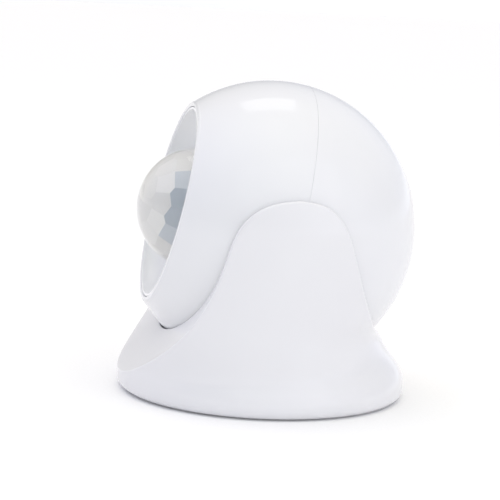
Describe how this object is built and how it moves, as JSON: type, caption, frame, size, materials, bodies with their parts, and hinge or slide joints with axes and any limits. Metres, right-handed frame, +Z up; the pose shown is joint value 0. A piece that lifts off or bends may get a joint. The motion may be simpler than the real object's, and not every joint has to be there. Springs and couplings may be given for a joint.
{
  "type": "motion sensor light",
  "caption": "Motion-sensing battery light: white ball head with recessed dish and faceted milky dome, held in a flared cradle with two tall ears on a swivel mounting plate.",
  "frame": {"origin": "centre of the mounting plate's flat underside, on the surface that it rests on or is screwed to", "axes": "+Z up out of the mounting plate, -Y the way the head faces, X the axis that the head tilts about"},
  "size_m": [0.104, 0.1003, 0.1068],
  "materials": {
    "shell_white": "glossy injection-moulded white plastic",
    "cradle_white": "glossy injection-moulded white plastic",
    "dish_white": "smooth white reflector plastic",
    "dome_milk": "milky translucent moulded lens",
    "led_clear": "clear epoxy lamp with a yellow phosphor spot",
    "board_green": "solder-masked circuit board",
    "board_blue": "dark blue solder-masked circuit board",
    "can_steel": "plated sensor can",
    "window_dark": "dark infrared filter window",
    "sensor_amber": "coated light-dependent resistor",
    "nylon_white": "natural nylon spacer",
    "chip_black": "moulded epoxy package",
    "capacitor_sleeve": "shrink sleeve",
    "black_plastic": "satin black moulding",
    "cell_sleeve": "plain printed metal sleeve of a dry cell",
    "steel": "plated steel",
    "wire_red": "red wire insulation",
    "wire_black": "black wire insulation",
    "pad_rubber": "soft grey rubber",
    "plate_grey": "satin pale grey moulding",
    "foam_tape": "white double-sided foam tape"
  },
  "bodies": {
    "mount": {"mount_plate": "plate_grey", "adhesive_pad": "foam_tape", "spring_washer": "steel", "swivel_screw": "steel"},
    "cradle": {"cradle": "cradle_white", "grip_pads": "pad_rubber"},
    "head": {"battery_1": "cell_sleeve", "battery_2": "cell_sleeve", "battery_3": "cell_sleeve", "battery_4": "cell_sleeve", "battery_tray": "black_plastic", "board_screws": "steel", "capacitors": "capacitor_sleeve", "contact_plates": "steel", "contact_springs": "steel", "controller_chip": "chip_black", "dome_lens": "dome_milk", "dome_retainer": "black_plastic", "front_shell": "shell_white", "lead_black": "wire_black", "lead_red": "wire_red", "led_1": "led_clear", "led_2": "led_clear", "led_3": "led_clear", "led_4": "led_clear", "led_5": "led_clear", "led_6": "led_clear", "led_7": "led_clear", "led_board": "board_green", "light_sensor": "sensor_amber", "main_board": "board_green", "pir_sensor": "can_steel", "pir_window": "window_dark", "reflector_dish": "dish_white", "sensor_board": "board_blue", "sensor_pins": "steel", "standoffs": "nylon_white", "tray_screws": "steel"},
    "battery_cover": {"rear_shell": "shell_white"}
  },
  "joints": [
    {"name": "base_swivel", "type": "hinge", "parent": "mount", "child": "cradle", "pos_m": [0, 0, 0], "axis": [0, 0, 1], "continuous": true},
    {"name": "head_tilt", "type": "hinge", "parent": "cradle", "child": "head", "pos_m": [0, 0, 0.05683], "axis": [1, 0, 0], "range_deg": [-75, 50]},
    {"name": "battery_cover_twist", "type": "hinge", "parent": "head", "child": "battery_cover", "pos_m": [0, 0, 0.05683], "axis": [0, -0.9761, 0.2173], "range_deg": [0, 20]}
  ]
}
